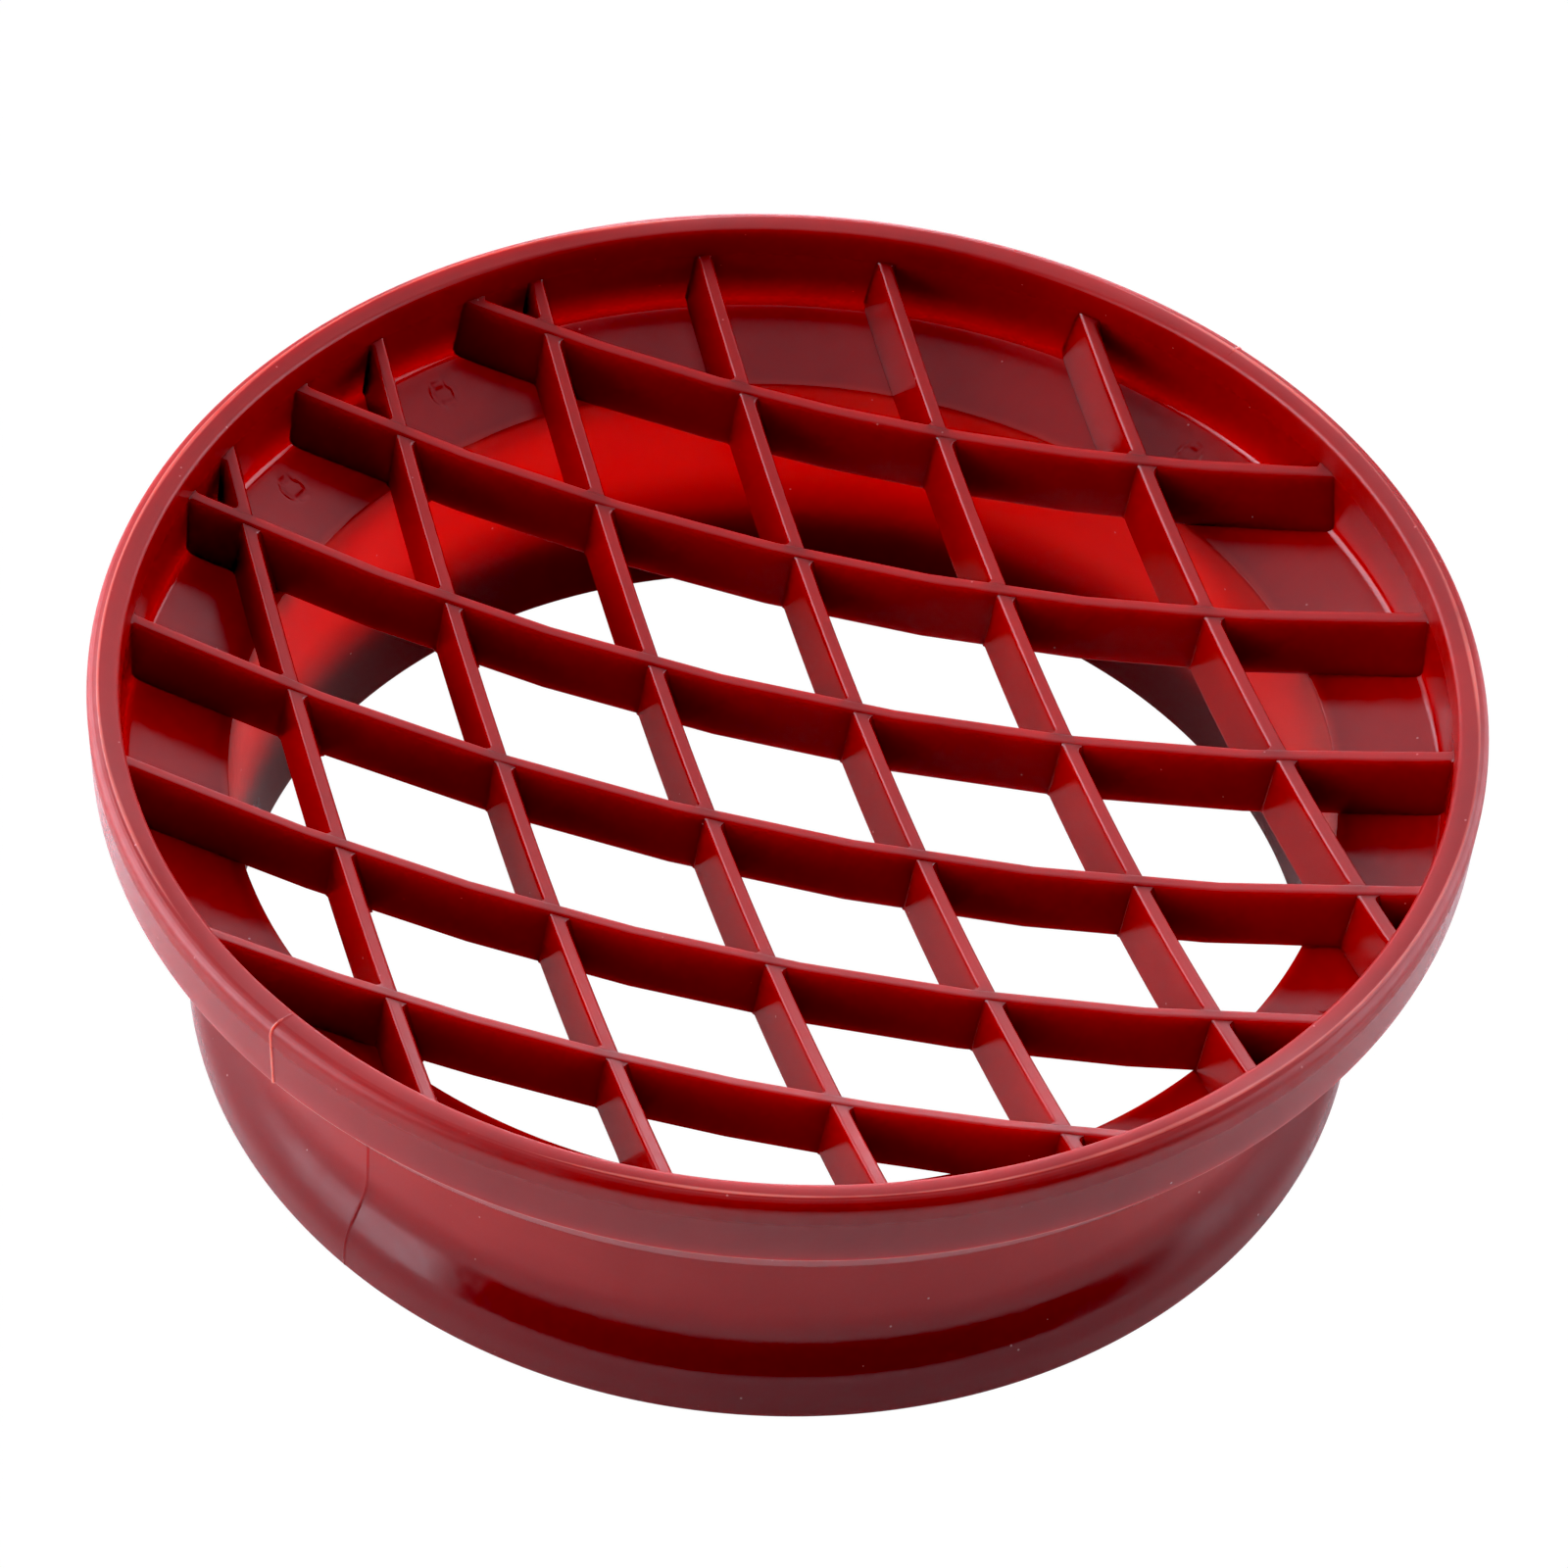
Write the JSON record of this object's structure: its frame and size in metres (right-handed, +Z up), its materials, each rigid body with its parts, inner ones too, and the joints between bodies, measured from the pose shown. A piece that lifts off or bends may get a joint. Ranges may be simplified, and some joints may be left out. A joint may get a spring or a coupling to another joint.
{
  "type": "lattice stamp",
  "caption": "Round plastic lattice stamp: a dished diamond grid of thin blade ribs inside a stepped rim, over a short flared skirt, open right through.",
  "frame": {"origin": "centre of the base, on the plane that the object stands on", "axes": "+Z up along the axis of the ring, +X along the long diagonal of the lattice's diamonds, +Y along the short diagonal"},
  "size_m": [0.095, 0.095, 0.0293],
  "materials": {
    "red_plastic": "satin, slightly translucent deep red"
  },
  "bodies": {
    "root": {"rim_band": "red_plastic", "ledge_ring": "red_plastic", "waist_wall": "red_plastic", "base_flare": "red_plastic", "rib_a1": "red_plastic", "rib_a2": "red_plastic", "rib_a3": "red_plastic", "rib_a4": "red_plastic", "rib_a5": "red_plastic", "rib_a6": "red_plastic", "rib_b1": "red_plastic", "rib_b2": "red_plastic", "rib_b3": "red_plastic", "rib_b4": "red_plastic", "rib_b5": "red_plastic", "rib_b6": "red_plastic"}
  },
  "joints": []
}
